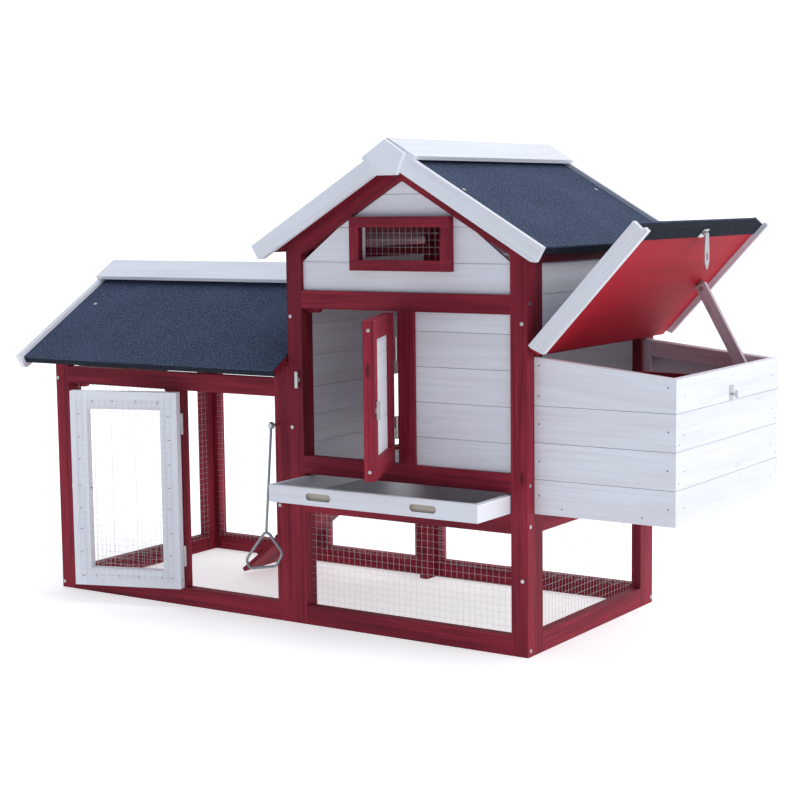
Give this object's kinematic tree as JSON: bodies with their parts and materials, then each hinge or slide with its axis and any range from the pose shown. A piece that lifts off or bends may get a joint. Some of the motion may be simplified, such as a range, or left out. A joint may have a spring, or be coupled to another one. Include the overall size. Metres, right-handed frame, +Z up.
{
  "type": "chicken coop",
  "caption": "Small wooden chicken coop: gabled raised house with hinged door and slide-out tray, hinged-lid nest box, and a low meshed run with a door, ramp and sliding pop door.",
  "frame": {"origin": "on the ground, under the middle of the coop's overall box", "axes": "+X from the run towards the nest box, +Y from the front to the back, +Z up"},
  "size_m": [1.518, 0.7964, 0.9434],
  "materials": {
    "red_timber": "stained, matte",
    "white_timber": "painted, matte",
    "bare_timber": "unfinished",
    "roof_felt": "mineral-surfaced felt",
    "wire_mesh": "galvanised welded wire",
    "zinc_steel": "zinc plated",
    "galvanised_sheet": "galvanised sheet"
  },
  "bodies": {
    "coop": {"run_front_frame": "red_timber", "run_end_frame": "red_timber", "run_back_frame": "red_timber", "run_meshes": "wire_mesh", "run_roof_decks": "bare_timber", "run_roof_felts": "roof_felt", "run_bargeboards": "white_timber", "run_ridge_cap": "white_timber", "house_front_frame": "red_timber", "house_back_frame": "red_timber", "house_left_frame": "red_timber", "house_right_frame": "red_timber", "front_panel_boards": "white_timber", "front_gable_boards": "white_timber", "back_wall_boards": "white_timber", "left_wall_boards": "white_timber", "right_wall_boards": "white_timber", "window_frame": "red_timber", "window_mesh": "wire_mesh", "house_meshes": "wire_mesh", "corner_blocks": "red_timber", "tray_runners": "red_timber", "house_roof_decks": "bare_timber", "house_roof_felts": "roof_felt", "house_bargeboards": "white_timber", "house_ridge_cap": "white_timber", "finials": "white_timber", "fixed_hinge_leaves": "zinc_steel", "hinge_pins": "zinc_steel", "nest_near_boards": "white_timber", "nest_far_boards": "white_timber", "nest_end_boards": "white_timber", "nest_floor": "white_timber", "nest_divider": "red_timber", "nest_cleats": "white_timber", "ramp_board": "red_timber", "ramp_cleats": "red_timber", "pop_door_guides": "red_timber", "screws_and_caps": "zinc_steel"},
    "run_door": {"run_door_frame": "white_timber", "run_door_mesh": "wire_mesh", "run_door_leaves": "zinc_steel"},
    "run_door_button": {"run_door_button": "zinc_steel"},
    "house_door": {"house_door_frame": "red_timber", "house_door_boards": "white_timber", "house_door_leaves": "zinc_steel"},
    "house_door_catch": {"house_door_catch": "zinc_steel"},
    "house_door_button": {"house_door_button": "zinc_steel"},
    "tray": {"tray_frame": "white_timber", "tray_sheet": "galvanised_sheet"},
    "nest_lid": {"lid_deck": "red_timber", "lid_felt": "roof_felt", "lid_bargeboards": "white_timber", "lid_leaves": "zinc_steel", "lid_fittings": "zinc_steel"},
    "lid_prop": {"lid_prop": "white_timber"},
    "hasp_strap": {"hasp_strap": "zinc_steel"},
    "hasp_staple": {"hasp_staple": "zinc_steel"},
    "pop_door": {"pop_door": "white_timber"},
    "pull_rod": {"pull_rod": "zinc_steel"}
  },
  "joints": [
    {"name": "run_door_hinge", "type": "hinge", "parent": "coop", "child": "run_door", "pos_m": [-0.34, -0.1895, 0.242], "axis": [0, 0, 1], "range_deg": [-8, 161.5]},
    {"name": "run_button_turn", "type": "hinge", "parent": "run_door", "child": "run_door_button", "pos_m": [-0.54708, -0.26079, 0.243], "axis": [-0.3173, 0.9483, 0], "range_deg": [0, 90]},
    {"name": "house_door_hinge", "type": "hinge", "parent": "coop", "child": "house_door", "pos_m": [0.1899, -0.1895, 0.48], "axis": [0, 0, 1], "range_deg": [-114.5, 40]},
    {"name": "house_catch_turn", "type": "hinge", "parent": "house_door", "child": "house_door_catch", "pos_m": [0.27269, -0.37695, 0.463], "axis": [0.91, 0.4147, 0], "range_deg": [0, 90]},
    {"name": "house_button_turn", "type": "hinge", "parent": "coop", "child": "house_door_button", "pos_m": [-0.042, -0.1871, 0.485], "axis": [0, -1, 0], "range_deg": [0, 90]},
    {"name": "tray_slide", "type": "slide", "parent": "coop", "child": "tray", "axis": [0, 1, 0], "range_m": [-0.29, 0.115]},
    {"name": "nest_lid_hinge", "type": "hinge", "parent": "coop", "child": "nest_lid", "pos_m": [0.474, 0.074, 0.569], "axis": [0, -1, 0], "range_deg": [-52.8, 25]},
    {"name": "lid_prop_pivot", "type": "hinge", "parent": "nest_lid", "child": "lid_prop", "pos_m": [0.60131, 0.2765, 0.65128], "axis": [0, -1, 0], "range_deg": [-11.1, 23.4]},
    {"name": "hasp_strap_hinge", "type": "hinge", "parent": "nest_lid", "child": "hasp_strap", "pos_m": [0.69338, 0.078, 0.76232], "axis": [0, -1, 0], "range_deg": [-25.1, 52.9]},
    {"name": "hasp_staple_turn", "type": "hinge", "parent": "coop", "child": "hasp_staple", "pos_m": [0.75, 0.078, 0.472], "axis": [1, 0, 0], "range_deg": [0, 90]},
    {"name": "pop_door_slide", "type": "slide", "parent": "coop", "child": "pop_door", "axis": [0, 1, 0], "range_m": [0, 0.175]},
    {"name": "pull_rod_swing", "type": "hinge", "parent": "coop", "child": "pull_rod", "pos_m": [-0.091, -0.21, 0.395], "axis": [0, -1, 0], "range_deg": [-1, 20]}
  ],
  "couplings": [
    {"joint": "lid_prop_pivot", "follows": "nest_lid_hinge", "ratio": -0.441},
    {"joint": "hasp_strap_hinge", "follows": "nest_lid_hinge", "ratio": -1},
    {"joint": "pull_rod_swing", "follows": "run_door_hinge", "ratio": 0.1235}
  ]
}
